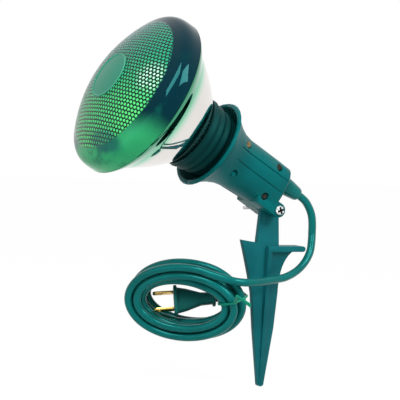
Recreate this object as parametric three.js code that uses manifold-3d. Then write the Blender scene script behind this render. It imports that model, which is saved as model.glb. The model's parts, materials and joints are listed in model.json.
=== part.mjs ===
// Light projector stake: a floodlamp in a tilting two-shell lampholder on a plastic ground spike,
// with its coiled cord and plug. Millimetres, +Z up along the spike, origin at the spike's tip.
// The tilt axis runs along Y and the lamp looks towards -X and upwards.
import * as THREE from 'three';
import { mergeVertices } from 'three/addons/utils/BufferGeometryUtils.js';
import Module from 'manifold-3d';

const wasm = await Module();
wasm.setup();

// Clearances and steps
const seatGap = 0.3; // between pieces that touch
const overrun = 2; // how far a cutter runs past what it cuts
const roundSteps = 32;
const lampSteps = 36;
const innerSteps = 24;
const smallSteps = 16;

// Spike
const pivotHeight = 134; // tip of the spike to the tilt axis
const spikeThickness = 4;
const neckTopWidth = 15.4;
const neckFootWidth = 19.4;
const shoulderDrop = 25.2; // tilt axis down to the inner corner of the shoulder
const shoulderReach = 23.1; // spike axis to the tip of the left shoulder
const shoulderRise = 2; // the shoulder's edge climbs this much to its tip
const waistHeight = 71; // where the left shoulder has run into the blade
const waistLeft = 11.9;
const waistRight = 10.8;
const bladeHeight = 44; // the blade starts its long taper here
const bladeHalfWidth = 8.7;
const tipHalfWidth = 2.6;
const stepDrop = 27.7; // tilt axis down to the top of the foot step
const stepThickness = 4.2;
const stepReach = 31.4; // spike axis to the end of the foot step
const stepDepth = 12;
const webReach = 22.6; // where the web's curve meets the foot step
const ribWidth = 3.5;
const ribTipDepth = 4.6;

// Tilt joint
const tiltAtRest = 28.6; // degrees of the lamp's axis above the horizontal
const screwRadius = 2;
const screwHeadRadius = 3.6;
const screwHeadHeight = 2.4;
const screwFreeEnd = 8.2; // thread left past the nut's washer face
const washerRadius = 5;
const washerThickness = 1;
const nutBaseRadius = 4.4;
const nutTopRadius = 3.5;
const nutHeight = 5;
const wingReach = 8.6;
const wingThickness = 1.9;
const wingRise = 3.4; // wing tips above the nut's body
const wingNutTurn = 53; // degrees about the screw
const lugRadius = 5.4;
const lugThickness = 12;
const slotClearance = 2; // round the spike's tongue, in the housing's slot

// Lampholder housing
const barrelRise = 14.7; // tilt axis up to the housing's axis
const rearFaceAhead = 3.3; // tilt axis forward to the housing's rear face
const bodyLength = 41.3;
const flareLength = 27.4;
const mouthRadius = 34.3;
const throatRadius = 20.3;
const rearHalfHeight = 18.2;
const rearHalfDepth = 16;
const housingWall = 2.2;
const lipWidth = 2.8;
const rearRound = 1.6;
const slotWall = 2;
const panelCentre = 2; // middle of the side panel above the housing's axis
const panelWidth = 10;
const grooveWidth = 0.8;
const grooveDepth = 0.6;
const panelEnd = 14.7; // of the side panel, behind the mouth
const shellScrewRise = 12.2; // housing axis to each housing screw
const rearScrewSetback = 6.2; // behind the socket's rear face
const shellScrewRadius = 1.6;
const shellScrewHead = 2.6;
const shellScrewHeadHeight = 1.6;
const bossRadius = 4.2;
const counterboreDepth = 3.2;

// Strain relief and cord
const reliefRise = 7.1; // housing axis to the strain relief's axis
const reliefBaseRadius = 7.5;
const reliefEndRadius = 4.9;
const reliefLength = 20.7;
const reliefNeckRadius = 6;
const reliefFlangeRadius = 8;
const reliefFlangeThickness = 1.8;
const cordRadius = 3;

// Socket
const socketRadius = 15.7;
const socketShare = 0.477; // of the housing's body, behind the socket for the leads
const socketNose = 1.6; // in front of the flange
const socketFloor = 4;
const socketBoreRadius = 14.2;
const flangeRadius = 17.4;
const flangeThickness = 8.8;
const flangeAhead = 1.5; // the housing's throat forward to the flange
const seatRibThickness = 2;
const rearRibLap = 1.1; // of the rear rib on the socket's rear face
const shellWall = 0.5;
const shellLipRadius = 9.2;
const contactWidth = 6;
const contactThickness = 0.7;
const rivetRadius = 1.5;
const rivetHeadRadius = 2.5;
const rivetHeadHeight = 0.9;
const contactRivetAt = -5; // along the socket's X, up across the lamp
const shellRivetAt = 11.4; // along its Y, clear of the screw bosses
const leadRadius = 1.2;

// Lamp
const lampRadius = 60.5;
const lampLength = 135;
const lensShare = 0.226; // of the lamp's length, from its seam to the front
const reflectorShare = 0.422; // of the lamp's length, from the reflector's vertex to the seam
const glassThickness = 2.6;
const neckGlassRadius = 17.4;
const skirtRadius = 19.1;
const skirtWall = 0.8;
const baseShellRadius = 13.1;
const baseShellLength = 20;
const tipRadius = 4.8;
const tipHeight = 1.4;
const insulatorLength = 5;
const skirtConeShare = 0.42; // of the skirt, widening from the base
const contactHeight = 5; // of the bent leaf, floor to lamp tip
const stemRadius = 14.3;
const stemShare = 0.204; // of the focal length, the stem's thickness
const postRadius = 0.7;
const filamentRadius = 6;
const filamentThickness = 0.7;

// Gasket
const gasketWall = 2;
const gasketRings = 5;
const gasketRipple = 0.5;

// Coil, tie and plug
const viewTurn = -33; // degrees about Z of the side that the coil faces
const coilTurn = -12;
const coilLean = 15;
const coilPlace = [-57.4, -70.2, 16]; // right, up and near of its centre, seen at viewTurn
const coilHalfWidth = 44.4;
const coilHalfHeight = 29.8;
const coilPitch = 6.7; // between turns side by side
const coilLayerPitch = 6.5;
const coilLayers = 4;
const turnsPerLayer = 2;
const coilStartAngle = 58;
const coilEndCut = 118; // degrees short of a whole last turn
const coilSteps = 24;
const tieShare = 0.875; // of a turn, from the coil's start to the tie
const tieRadius = 0.9;
const tieSteps = 20;
const tieKnotAngle = 50; // degrees round the tie's loop, from the coil's outside to its front
const tieTwistLength = 8;
const tieEndLength = 10;
const plugRearPlace = [19, -1.6, -12.4]; // in the coil's frame: right, up and towards its front
const plugFrontPlace = [-25.5, -2.6, 3]; // a place that the plug points to
const plugRoll = -55;
const plugLength = 31;
const plugRearHeight = 4.4;
const plugRearDepth = 4.4;
const plugFrontHeight = 5.6;
const plugFrontDepth = 9.6;
const plugFlangeHeight = 7.6;
const plugFlangeDepth = 11.2;
const plugFlangeThickness = 2.4;
const plugStopThickness = 2.2;
const bladeLength = 15.2;
const plugBladeThickness = 1.5;
const hotBladeWidth = 6.3;
const neutralBladeWidth = 7.9;
const bladeSpacing = 12.7;

const rad = THREE.MathUtils.degToRad;
const lerp = THREE.MathUtils.lerp;

// Lengths along the housing axis that follow from the sizes above, from the housing's rear face
const housingLength = bodyLength + flareLength;
const flangeRear = bodyLength + flangeAhead;
const flangeFront = flangeRear + flangeThickness;
const frontScrewAlong = (flangeRear + flangeFront) / 2;
const socketFront = flangeFront + socketNose;
const socketRear = bodyLength * socketShare;
const rearScrewAlong = socketRear - rearScrewSetback;
const gasketRear = flangeFront + seatRibThickness + 2 * seatGap;
const lampTipAlong = socketRear + socketFloor + contactHeight;
const apexAlong = lampTipAlong + lampLength;
const lensRise = lampLength * lensShare;
const reflectorDepth = lampLength * reflectorShare;
const seamAlong = apexAlong - lensRise;
const vertexAlong = seamAlong - reflectorDepth;
const parabolaRadius = lampRadius - glassThickness;
const focalLength = parabolaRadius ** 2 / (4 * reflectorDepth);
const panelFront = housingLength - panelEnd;
const holeRadius = screwRadius + seatGap;
const earInner = spikeThickness / 2 + seatGap; // sides of each ear, along Y from the tongue's middle
const earOuter = earInner + lugThickness;
const slotRadius = neckTopWidth / 2 + slotClearance;

// Materials
const plastic = (color, roughness) => new THREE.MeshStandardMaterial({ color, roughness });
const metal = (color, roughness) => new THREE.MeshStandardMaterial({ color, roughness, metalness: 1 });
const housingGreen = plastic(0x0f7d74, 0.4);
const spikeGreen = plastic(0x17626a, 0.5);
const cordGreen = plastic(0x07655d, 0.3);
const rubberGreen = plastic(0x0b3b36, 0.75);
const lensGreen = new THREE.MeshStandardMaterial({ color: 0x0c8a55, roughness: 0.08 });
const mirror = metal(0xd8dadc, 0.06);
const steel = metal(0xb9bcc0, 0.3);
const brass = metal(0xc9a24a, 0.3);
const phenolic = plastic(0x1c1a18, 0.6);
const ceramic = plastic(0xd9d4c8, 0.6);

// Solids
function toSolid(geometry) {
  const bare = geometry.clone();
  bare.deleteAttribute('normal');
  bare.deleteAttribute('uv');
  const merged = mergeVertices(bare, 1e-4);
  const mesh = new wasm.Mesh({
    numProp: 3,
    vertProperties: new Float32Array(merged.attributes.position.array),
    triVerts: new Uint32Array(merged.index.array),
  });
  return new wasm.Manifold(mesh);
}

function toGeometry(solid) {
  const mesh = solid.getMesh();
  const geometry = new THREE.BufferGeometry();
  geometry.setAttribute('position', new THREE.BufferAttribute(mesh.vertProperties, 3));
  geometry.setIndex(new THREE.BufferAttribute(mesh.triVerts, 1));
  geometry.computeVertexNormals();
  return geometry;
}

// A profile of [radius, along] points turned about Z, with its faces outwards whichever way it runs.
function revolve(profile, steps = roundSteps) {
  const points = profile.map(([radius, along]) => new THREE.Vector2(radius, along));
  if (THREE.ShapeUtils.area(points) < 0) {
    points.reverse();
  }
  const geometry = new THREE.LatheGeometry(points, steps);
  return geometry.rotateX(Math.PI / 2);
}

// A rod along Z between two heights.
function rod(radius, from, to, steps = smallSteps) {
  return revolve([[0, from], [radius, from], [radius, to], [0, to]], steps);
}

// A rod along Y about the point x, z.
function crossRod(radius, from, to, x, z, steps = smallSteps) {
  return rod(radius, from, to, steps).rotateX(-Math.PI / 2).translate(x, 0, z);
}

// An outline in X and Z, as thick as it says along Y, from the given near side.
function slab(shape, thickness, nearSide) {
  const geometry = new THREE.ExtrudeGeometry(shape, {
    depth: thickness,
    bevelEnabled: false,
    curveSegments: 10,
  });
  return geometry.rotateX(Math.PI / 2).translate(0, nearSide + thickness, 0);
}

function box(from, to) {
  const size = new THREE.Vector3().subVectors(to, from);
  const middle = new THREE.Vector3().addVectors(from, to).multiplyScalar(0.5);
  return new THREE.BoxGeometry(size.x, size.y, size.z).translate(middle.x, middle.y, middle.z);
}

// A closed solid through rings of [along, halfHeight, halfDepth, power], closed by a fan at each end.
function loft(rings, steps = roundSteps) {
  const positions = [];
  const index = [];
  for (const [along, halfHeight, halfDepth, power] of rings) {
    for (let i = 0; i < steps; i += 1) {
      const angle = (i / steps) * Math.PI * 2;
      const c = Math.cos(angle);
      const s = Math.sin(angle);
      const x = halfHeight * Math.sign(c) * Math.abs(c) ** (2 / power);
      const y = halfDepth * Math.sign(s) * Math.abs(s) ** (2 / power);
      positions.push(x, y, along);
    }
  }
  for (let ring = 0; ring < rings.length - 1; ring += 1) {
    for (let i = 0; i < steps; i += 1) {
      const a = ring * steps + i;
      const b = ring * steps + ((i + 1) % steps);
      index.push(a, b, b + steps, a, b + steps, a + steps);
    }
  }
  const first = positions.length / 3;
  positions.push(0, 0, rings[0][0]);
  positions.push(0, 0, rings[rings.length - 1][0]);
  const lastRing = (rings.length - 1) * steps;
  for (let i = 0; i < steps; i += 1) {
    const next = (i + 1) % steps;
    index.push(first, next, i);
    index.push(first + 1, lastRing + i, lastRing + next);
  }
  const geometry = new THREE.BufferGeometry();
  geometry.setAttribute('position', new THREE.Float32BufferAttribute(positions, 3));
  geometry.setIndex(index);
  geometry.computeVertexNormals();
  return geometry;
}

// A closed round tube through points, whose ring planes are square to the path.
function tube(points, radius, sides) {
  const positions = [];
  const index = [];
  const tangentAt = (i) => {
    const before = points[Math.max(i - 1, 0)];
    const after = points[Math.min(i + 1, points.length - 1)];
    return new THREE.Vector3().subVectors(after, before).normalize();
  };
  let normal = new THREE.Vector3(0.3, 0.2, 1).cross(tangentAt(0)).normalize();
  points.forEach((point, ring) => {
    const tangent = tangentAt(ring);
    normal = normal.clone().addScaledVector(tangent, -normal.dot(tangent)).normalize();
    const side = new THREE.Vector3().crossVectors(tangent, normal);
    for (let i = 0; i < sides; i += 1) {
      const angle = (i / sides) * Math.PI * 2;
      const corner = point.clone();
      corner.addScaledVector(normal, Math.cos(angle) * radius);
      corner.addScaledVector(side, Math.sin(angle) * radius);
      positions.push(corner.x, corner.y, corner.z);
    }
    if (ring > 0) {
      for (let i = 0; i < sides; i += 1) {
        const a = (ring - 1) * sides + i;
        const b = (ring - 1) * sides + ((i + 1) % sides);
        index.push(a, b, b + sides, a, b + sides, a + sides);
      }
    }
  });
  const last = (points.length - 1) * sides;
  for (let i = 1; i < sides - 1; i += 1) {
    index.push(0, i + 1, i);
    index.push(last, last + i, last + i + 1);
  }
  const geometry = new THREE.BufferGeometry();
  geometry.setAttribute('position', new THREE.Float32BufferAttribute(positions, 3));
  geometry.setIndex(index);
  geometry.computeVertexNormals();
  return geometry;
}

const part = new THREE.Group();

function addPiece(parent, name, geometry, material) {
  const mesh = new THREE.Mesh(geometry, material);
  mesh.name = name;
  parent.add(mesh);
}

// Spike: a flat blade with a cross rib, a pointed shoulder on one side and a foot step on the other
function makeSpike() {
  const stepTop = pivotHeight - stepDrop;
  const stepUnder = stepTop - stepThickness;
  const shoulderCorner = pivotHeight - shoulderDrop;
  const neckTop = neckTopWidth / 2;
  const neckFoot = neckFootWidth / 2;
  const outline = new THREE.Shape();
  outline.moveTo(neckTop, pivotHeight);
  outline.absarc(0, pivotHeight, neckTop, 0, Math.PI, false);
  outline.lineTo(-neckFoot, shoulderCorner);
  outline.lineTo(-shoulderReach, shoulderCorner + shoulderRise);
  outline.quadraticCurveTo(-lerp(waistLeft, shoulderReach, 0.3), waistHeight * 1.2, -waistLeft, waistHeight);
  outline.lineTo(-bladeHalfWidth, bladeHeight);
  outline.lineTo(-tipHalfWidth, tipHalfWidth);
  outline.quadraticCurveTo(-tipHalfWidth, 0, 0, 0);
  outline.quadraticCurveTo(tipHalfWidth, 0, tipHalfWidth, tipHalfWidth);
  outline.lineTo(bladeHalfWidth, bladeHeight);
  outline.lineTo(waistRight, waistHeight);
  outline.quadraticCurveTo(waistRight, lerp(waistHeight, stepUnder, 0.75), webReach, stepUnder);
  outline.lineTo(webReach, stepTop);
  outline.lineTo(neckFoot, stepTop);
  const ribOutline = new THREE.Shape();
  ribOutline.moveTo(-stepDepth / 2, stepTop);
  ribOutline.lineTo(stepDepth / 2, stepTop);
  ribOutline.lineTo(ribTipDepth / 2, tipHalfWidth);
  ribOutline.lineTo(-ribTipDepth / 2, tipHalfWidth);
  const rib = slab(ribOutline, ribWidth, -ribWidth / 2).rotateZ(Math.PI / 2);
  const stepEnd = stepReach - stepThickness / 2;
  const step = box(
    new THREE.Vector3(-ribWidth / 2, -stepDepth / 2, stepUnder),
    new THREE.Vector3(stepEnd, stepDepth / 2, stepTop),
  );
  const stepNose = crossRod(
    stepThickness / 2, -stepDepth / 2, stepDepth / 2, stepEnd, stepUnder + stepThickness / 2,
  );
  const hole = crossRod(holeRadius, -spikeThickness, spikeThickness, 0, pivotHeight);
  const solid = toSolid(slab(outline, spikeThickness, -spikeThickness / 2))
    .add(toSolid(rib))
    .add(toSolid(step))
    .add(toSolid(stepNose))
    .subtract(toSolid(hole));
  return toGeometry(solid);
}
addPiece(part, 'stake', makeSpike(), spikeGreen);

// The head turns on the tilt axis. Its X is up across the lamp, its Z is along the lamp.
const head = new THREE.Group();
head.position.set(0, 0, pivotHeight);
head.rotation.y = rad(tiltAtRest - 90);
part.add(head);
const barrel = new THREE.Group();
barrel.position.set(barrelRise, 0, rearFaceAhead);
head.add(barrel);

// Housing: two shells that meet on the plane y = 0 of the barrel
function housingSection(along, inset) {
  if (along <= bodyLength) {
    const share = Math.max(along / bodyLength, 0);
    const halfHeight = lerp(rearHalfHeight, throatRadius, share);
    const halfDepth = lerp(rearHalfDepth, throatRadius, share);
    return [along, halfHeight - inset, halfDepth - inset, lerp(3, 2, share)];
  }
  const share = (along - bodyLength) / flareLength;
  const radius = lerp(throatRadius, mouthRadius, share ** 1.7);
  return [along, radius - inset, radius - inset, 2];
}

const bodyShares = [0.3, 0.65, 1];
const flareShares = [0.25, 0.5, 0.75, 0.92];
const bodyStations = bodyShares.map((share) => share * bodyLength);
const flareStations = flareShares.map((share) => bodyLength + share * flareLength);

function housingSolid(inset, rear, front) {
  const stations = [...bodyStations, ...flareStations];
  const rings = [housingSection(rear, inset)];
  for (const station of stations) {
    rings.push(housingSection(station, inset));
  }
  const last = housingSection(housingLength, inset);
  rings.push([front, last[1], last[2], last[3]]);
  return rings;
}

function makeHousing() {
  const outerRings = housingSolid(0, 0, housingLength);
  const rearRing = outerRings[0];
  outerRings.splice(0, 1,
    [0, rearRing[1] - rearRound, rearRing[2] - rearRound, rearRing[3]],
    [rearRound, rearRing[1], rearRing[2], rearRing[3]],
  );
  outerRings.splice(outerRings.length - 1, 1,
    [housingLength - lipWidth / 2, mouthRadius, mouthRadius, 2],
    [housingLength, mouthRadius - lipWidth / 3, mouthRadius - lipWidth / 3, 2],
  );
  const outer = toSolid(loft(outerRings));
  const cavity = toSolid(loft(housingSolid(housingWall, housingWall, housingLength + overrun)));
  const pivotX = -barrelRise;
  const pivotZ = -rearFaceAhead;
  const deep = mouthRadius;
  const crossHole = (radius, from, to, x, z) => toSolid(crossRod(radius, from, to, x, z));

  // One block for both ears, parted by the slot for the spike's tongue
  const earOutline = new THREE.Shape();
  earOutline.moveTo(pivotX + lugRadius, bodyLength / 6);
  earOutline.lineTo(pivotX + lugRadius, pivotZ);
  earOutline.absarc(pivotX, pivotZ, lugRadius, 0, -Math.PI * 0.9, true);
  earOutline.lineTo(-rearHalfHeight * 1.04, bodyLength * 0.4);
  earOutline.lineTo(-rearHalfHeight * 0.8, bodyLength * 0.45);
  const ears = toSolid(slab(earOutline, earOuter * 2, -earOuter)).subtract(cavity);
  const slot = toSolid(crossRod(slotRadius, -earInner, earInner, pivotX, pivotZ, roundSteps));
  const slotShell = toSolid(crossRod(
    slotRadius + slotWall, -earInner - slotWall, earInner + slotWall, pivotX, pivotZ, roundSteps,
  )).intersect(outer);

  let shell = outer.subtract(cavity).add(slotShell).add(ears);
  const seatRibs = [
    [socketRear - seatGap - seatRibThickness, socketRadius - rearRibLap],
    [flangeRear - seatGap - seatRibThickness, socketRadius + seatGap],
    [flangeFront + seatGap, socketRadius + seatGap],
  ];
  for (const [along, bore] of seatRibs) {
    const ring = toSolid(rod(mouthRadius, along, along + seatRibThickness, roundSteps))
      .intersect(outer)
      .subtract(toSolid(rod(bore, along - overrun, along + seatRibThickness + overrun, roundSteps)));
    shell = shell.add(ring);
  }
  for (const side of [-1, 1]) {
    const boss = crossHole(bossRadius, -deep, deep, side * shellScrewRise, rearScrewAlong);
    shell = shell.add(boss.intersect(outer));
  }
  shell = shell.subtract(slot);

  const reliefHole = rod(reliefNeckRadius + seatGap, -overrun, housingWall + overrun);
  shell = shell.subtract(toSolid(reliefHole.translate(reliefRise, 0, 0)));
  shell = shell.subtract(crossHole(holeRadius, -deep, deep, pivotX, pivotZ));
  shell = shell.subtract(crossHole(screwHeadRadius + seatGap, -deep, -earOuter, pivotX, pivotZ));
  shell = shell.subtract(crossHole(washerRadius + seatGap, earOuter, deep, pivotX, pivotZ));

  const screwBore = shellScrewRadius + seatGap;
  const headBore = shellScrewHead + seatGap;
  for (const side of [-1, 1]) {
    const x = side * shellScrewRise;
    shell = shell.subtract(crossHole(screwBore, -deep, rearScrewInner, x, rearScrewAlong));
    shell = shell.subtract(crossHole(headBore, -deep, rearScrewSeat, x, rearScrewAlong));
    shell = shell.subtract(crossHole(screwBore, -deep, 0, x, frontScrewAlong));
    shell = shell.subtract(crossHole(headBore, -deep, frontScrewSeat, x, frontScrewAlong));
  }

  const grooveBed = toSolid(loft(housingSolid(grooveDepth, -overrun, housingLength + overrun)));
  for (const edge of [panelCentre - panelWidth / 2, panelCentre + panelWidth / 2]) {
    const strip = box(
      new THREE.Vector3(edge - grooveWidth / 2, -deep, -overrun),
      new THREE.Vector3(edge + grooveWidth / 2, deep, panelFront),
    );
    shell = shell.subtract(toSolid(strip).subtract(grooveBed));
  }
  return [[-deep, -seatGap / 2], [seatGap / 2, deep]].map(([near, far]) => {
    const half = box(
      new THREE.Vector3(-deep * 2, near, -deep),
      new THREE.Vector3(deep * 2, far, housingLength),
    );
    return toGeometry(shell.intersect(toSolid(half)));
  });
}

// The housing screws' seats, along Y from the parting plane
const rearScrewSeat = -rearHalfDepth + counterboreDepth;
const rearScrewInner = rearHalfDepth - counterboreDepth;
const frontScrewSeat = -throatRadius + counterboreDepth + shellScrewHeadHeight;
const frontScrewInner = -Math.sqrt(flangeRadius ** 2 - shellScrewRise ** 2) + counterboreDepth;
const [nearShell, farShell] = makeHousing();
addPiece(barrel, 'housing_near', nearShell, housingGreen);
addPiece(barrel, 'housing_far', farShell, housingGreen);

function makeShellScrew(seat, end, along, side) {
  const profile = [
    [0, seat - seatGap - shellScrewHeadHeight],
    [shellScrewHead * 0.7, seat - seatGap - shellScrewHeadHeight],
    [shellScrewHead, seat - seatGap - shellScrewHeadHeight * 0.5],
    [shellScrewHead, seat - seatGap],
    [shellScrewRadius, seat - seatGap],
    [shellScrewRadius, end],
    [0, end],
  ];
  return revolve(profile, smallSteps).rotateX(-Math.PI / 2).translate(side * shellScrewRise, 0, along);
}
const shellScrews = [
  ['rear_lower_screw', rearScrewSeat, rearScrewInner - seatGap, rearScrewAlong, -1],
  ['rear_upper_screw', rearScrewSeat, rearScrewInner - seatGap, rearScrewAlong, 1],
  ['front_lower_screw', frontScrewSeat, frontScrewInner, frontScrewAlong, -1],
  ['front_upper_screw', frontScrewSeat, frontScrewInner, frontScrewAlong, 1],
];
for (const [name, seat, end, along, side] of shellScrews) {
  addPiece(barrel, name, makeShellScrew(seat, end, along, side), brass);
}

// Tilt screw, washer and wing nut, along Y at the tilt axis
const washerSide = earOuter + seatGap;
const nutSide = washerSide + washerThickness + seatGap;
const screwEnd = nutSide + screwFreeEnd;
const headSide = -earOuter - seatGap;
const screwProfile = [
  [0, headSide - screwHeadHeight],
  [screwHeadRadius * 0.75, headSide - screwHeadHeight],
  [screwHeadRadius, headSide - screwHeadHeight * 0.4],
  [screwHeadRadius, headSide],
  [screwRadius, headSide],
  [screwRadius, screwEnd],
  [0, screwEnd],
];
addPiece(head, 'tilt_screw', revolve(screwProfile, smallSteps).rotateX(-Math.PI / 2), steel);
const washerProfile = [
  [holeRadius, washerSide],
  [washerRadius, washerSide],
  [washerRadius, washerSide + washerThickness],
  [holeRadius, washerSide + washerThickness],
  [holeRadius, washerSide],
];
addPiece(head, 'tilt_washer', revolve(washerProfile, smallSteps).rotateX(-Math.PI / 2), steel);

function makeWingNut() {
  const body = toSolid(revolve([
    [0, nutSide],
    [nutBaseRadius, nutSide],
    [nutTopRadius, nutSide + nutHeight],
    [0, nutSide + nutHeight],
  ], smallSteps).rotateX(-Math.PI / 2));
  const wing = new THREE.Shape();
  const wingTop = nutHeight + wingRise;
  wing.moveTo(0, nutHeight * 0.2);
  wing.quadraticCurveTo(wingReach * 0.7, nutHeight * 0.3, wingReach, nutHeight);
  wing.quadraticCurveTo(wingReach, wingTop, wingReach * 0.8, wingTop);
  wing.quadraticCurveTo(wingReach * 0.5, wingTop, nutTopRadius * 0.7, nutHeight * 0.9);
  wing.lineTo(0, nutHeight * 0.9);
  let solid = body;
  for (const turn of [0, Math.PI]) {
    const blade = new THREE.ExtrudeGeometry(wing, {
      depth: wingThickness,
      bevelEnabled: false,
      curveSegments: 6,
    });
    blade.translate(0, nutSide, -wingThickness / 2).rotateY(turn + rad(wingNutTurn));
    solid = solid.add(toSolid(blade));
  }
  const boreEnd = nutSide + nutHeight + wingRise + overrun;
  const bore = toSolid(crossRod(holeRadius, nutSide - overrun, boreEnd, 0, 0));
  return toGeometry(solid.subtract(bore));
}
addPiece(head, 'wing_nut', makeWingNut(), steel);

// Strain relief: a moulded sleeve that clips in the rear wall and tapers down to the cord
const reliefProfile = [
  [0, housingWall + seatGap + reliefFlangeThickness],
  [reliefFlangeRadius, housingWall + seatGap + reliefFlangeThickness],
  [reliefFlangeRadius, housingWall + seatGap],
  [reliefNeckRadius, housingWall + seatGap],
  [reliefNeckRadius, -seatGap],
  [reliefBaseRadius, -seatGap],
  [lerp(reliefBaseRadius, reliefEndRadius, 0.5) + seatGap, -reliefLength / 2],
  [reliefEndRadius, -reliefLength + cordRadius / 3],
  [reliefEndRadius * 0.8, -reliefLength],
  [0, -reliefLength],
];
addPiece(barrel, 'strain_relief', revolve(reliefProfile, smallSteps).translate(reliefRise, 0, 0), cordGreen);

// Socket: moulded body, screw shell, centre contact, rivets and leads
const floorTop = socketRear + socketFloor;
function makeSocketBody() {
  const profile = [
    [0, socketRear],
    [socketRadius, socketRear],
    [socketRadius, flangeRear],
    [flangeRadius, flangeRear],
    [flangeRadius, flangeFront],
    [socketRadius, flangeFront],
    [socketRadius, socketFront],
    [socketBoreRadius, socketFront],
    [socketBoreRadius, floorTop],
    [0, floorTop],
  ];
  let solid = toSolid(revolve(profile, innerSteps));
  for (const [x, y] of [[contactRivetAt, 0], [0, shellRivetAt]]) {
    const hole = rod(rivetRadius + seatGap, socketRear - overrun, floorTop + overrun);
    solid = solid.subtract(toSolid(hole.translate(x, y, 0)));
  }
  const screwHoleEnd = frontScrewInner + seatGap;
  for (const side of [-1, 1]) {
    const hole = crossRod(shellScrewRadius + seatGap, -mouthRadius, screwHoleEnd, 0, frontScrewAlong);
    solid = solid.subtract(toSolid(hole.translate(side * shellScrewRise, 0, 0)));
  }
  return toGeometry(solid);
}
addPiece(barrel, 'socket_body', makeSocketBody(), phenolic);

const shellOuter = socketBoreRadius - seatGap;
const shellInner = shellOuter - shellWall;
const shellFloor = floorTop + seatGap;
function makeScrewShell() {
  const profile = [
    [shellLipRadius, shellFloor],
    [shellOuter, shellFloor],
    [shellOuter, socketFront - seatGap],
    [shellInner, socketFront - seatGap],
    [shellInner, shellFloor + shellWall],
    [shellLipRadius, shellFloor + shellWall],
    [shellLipRadius, shellFloor],
  ];
  const hole = rod(rivetRadius + seatGap, shellFloor - overrun, shellFloor + overrun);
  hole.translate(0, shellRivetAt, 0);
  return toGeometry(toSolid(revolve(profile, innerSteps)).subtract(toSolid(hole)));
}
addPiece(barrel, 'socket_shell', makeScrewShell(), brass);

function makeCentreContact() {
  const foot = floorTop + seatGap;
  const top = lampTipAlong - seatGap;
  const reach = -contactRivetAt + rivetHeadRadius;
  const strip = new THREE.Shape();
  strip.moveTo(-reach, foot);
  strip.lineTo(contactRivetAt + rivetHeadRadius, foot);
  strip.lineTo(tipRadius / 2, top - contactThickness);
  strip.lineTo(tipRadius, top - contactThickness);
  strip.lineTo(tipRadius, top);
  strip.lineTo(0, top);
  strip.lineTo(contactRivetAt + rivetHeadRadius - contactThickness, foot + contactThickness);
  strip.lineTo(-reach, foot + contactThickness);
  const hole = rod(rivetRadius + seatGap, foot - overrun, foot + overrun).translate(contactRivetAt, 0, 0);
  return toGeometry(toSolid(slab(strip, contactWidth, -contactWidth / 2)).subtract(toSolid(hole)));
}
addPiece(barrel, 'centre_contact', makeCentreContact(), brass);

function makeRivet(x, y, headSeat) {
  const rear = socketRear - seatGap;
  const profile = [
    [0, rear - rivetHeadHeight],
    [rivetHeadRadius * 0.7, rear - rivetHeadHeight],
    [rivetHeadRadius, rear],
    [rivetRadius, rear],
    [rivetRadius, headSeat],
    [rivetHeadRadius * 0.8, headSeat],
    [rivetHeadRadius * 0.5, headSeat + rivetHeadHeight],
    [0, headSeat + rivetHeadHeight],
  ];
  return revolve(profile, 12).translate(x, y, 0);
}
const contactSeat = floorTop + contactThickness + 2 * seatGap;
addPiece(barrel, 'contact_rivet', makeRivet(contactRivetAt, 0, contactSeat), brass);
addPiece(barrel, 'shell_rivet', makeRivet(0, shellRivetAt, shellFloor + shellWall + seatGap), brass);

function makeLead(x, y, side) {
  const start = housingWall + reliefFlangeThickness + 2 * seatGap;
  const end = socketRear - rivetHeadHeight - 2 * seatGap;
  const besideBoss = shellScrewRise - bossRadius - 2 * leadRadius;
  const curve = new THREE.CubicBezierCurve3(
    new THREE.Vector3(besideBoss, side * leadRadius * 1.5, start),
    new THREE.Vector3(besideBoss, side * leadRadius * 1.5, lerp(start, end, 0.9)),
    new THREE.Vector3(x, y, lerp(start, end, 0.75)),
    new THREE.Vector3(x, y, end),
  );
  return tube(curve.getPoints(12), leadRadius, 8);
}
addPiece(barrel, 'hot_lead', makeLead(contactRivetAt, 0, -1), phenolic);
addPiece(barrel, 'neutral_lead', makeLead(0, shellRivetAt, 1), ceramic);

// Gasket: a ringed rubber boot from the housing's throat to the back of the lamp
function glassRadius(along) {
  return Math.sqrt(Math.max(4 * focalLength * (along - vertexAlong), 0));
}
function makeGasket() {
  const lipAlong = vertexAlong + (lampRadius * 0.43) ** 2 / (4 * focalLength);
  const rearRadius = housingSection(gasketRear, housingWall)[1] - seatGap;
  const lipRadius = glassRadius(lipAlong) + seatGap;
  const profile = [[rearRadius - gasketWall, gasketRear + seatGap], [rearRadius, gasketRear + seatGap]];
  const steps = gasketRings * 4;
  for (let i = 1; i <= steps; i += 1) {
    const share = i / steps;
    const along = lerp(gasketRear + overrun, lipAlong, share);
    const ripple = gasketRipple * Math.sin(share * gasketRings * Math.PI * 2);
    profile.push([lerp(rearRadius, lipRadius + gasketWall, share ** 0.7) + ripple, along]);
  }
  profile.push([lipRadius + seatGap, lipAlong]);
  const neckAlong = vertexAlong + (skirtRadius ** 2) / (4 * focalLength);
  for (const share of [0.25, 0.5, 0.75]) {
    const along = lerp(lipAlong, neckAlong, share);
    profile.push([glassRadius(along) + 3 * seatGap, along]);
  }
  profile.push([skirtRadius + 3 * seatGap, neckAlong]);
  profile.push([skirtRadius + 3 * seatGap, gasketRear + 2 * overrun]);
  profile.push(profile[0]);
  return revolve(profile);
}
addPiece(barrel, 'gasket', makeGasket(), rubberGreen);

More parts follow.
